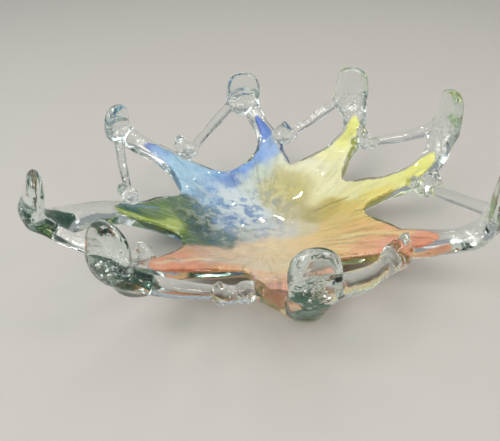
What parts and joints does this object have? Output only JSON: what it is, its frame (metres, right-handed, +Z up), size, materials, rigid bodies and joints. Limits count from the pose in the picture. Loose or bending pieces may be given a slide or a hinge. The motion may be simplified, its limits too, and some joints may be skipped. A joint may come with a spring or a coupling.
{
  "type": "decorative glass bowl",
  "caption": "Hand-worked art glass centrepiece bowl: shallow multicoloured well, pulled arms curling up into clear paddles, joined round the edge by clear glass bridges",
  "frame": {"origin": "centre of the flat resting face under the well", "axes": "+Z up, away from the table; +X to the right and +Y away from the viewer when the green arm is on the left"},
  "size_m": [0.3999, 0.4023, 0.131],
  "materials": {
    "clear_glass": "gloss",
    "colour_centre": "gloss",
    "colour_green": "gloss",
    "colour_blue": "gloss",
    "colour_yellow": "gloss",
    "colour_orange": "gloss",
    "colour_pink": "gloss"
  },
  "bodies": {
    "root": {"arm_back": "clear_glass", "arm_back_left": "clear_glass", "arm_back_right": "clear_glass", "arm_front": "clear_glass", "arm_front_left": "clear_glass", "arm_left": "clear_glass", "arm_right": "clear_glass", "arm_right_back": "clear_glass", "bridge_back": "clear_glass", "bridge_back_left": "clear_glass", "bridge_back_right": "clear_glass", "bridge_front": "clear_glass", "bridge_front_left": "clear_glass", "bridge_left": "clear_glass", "bridge_right": "clear_glass", "bridge_right_back": "clear_glass", "colour_blue": "colour_blue", "colour_centre": "colour_centre", "colour_green": "colour_green", "colour_orange": "colour_orange", "colour_pink": "colour_pink", "colour_yellow": "colour_yellow", "foot_pad": "clear_glass", "paddle_back": "clear_glass", "paddle_back_left": "clear_glass", "paddle_back_right": "clear_glass", "paddle_front": "clear_glass", "paddle_front_left": "clear_glass", "paddle_left": "clear_glass", "paddle_right": "clear_glass", "paddle_right_back": "clear_glass", "weld_back": "clear_glass", "weld_back_left": "clear_glass", "weld_back_right": "clear_glass", "weld_front": "clear_glass", "weld_front_left": "clear_glass", "weld_left": "clear_glass", "weld_right": "clear_glass", "weld_right_back": "clear_glass", "well_casing": "clear_glass"}
  },
  "joints": []
}
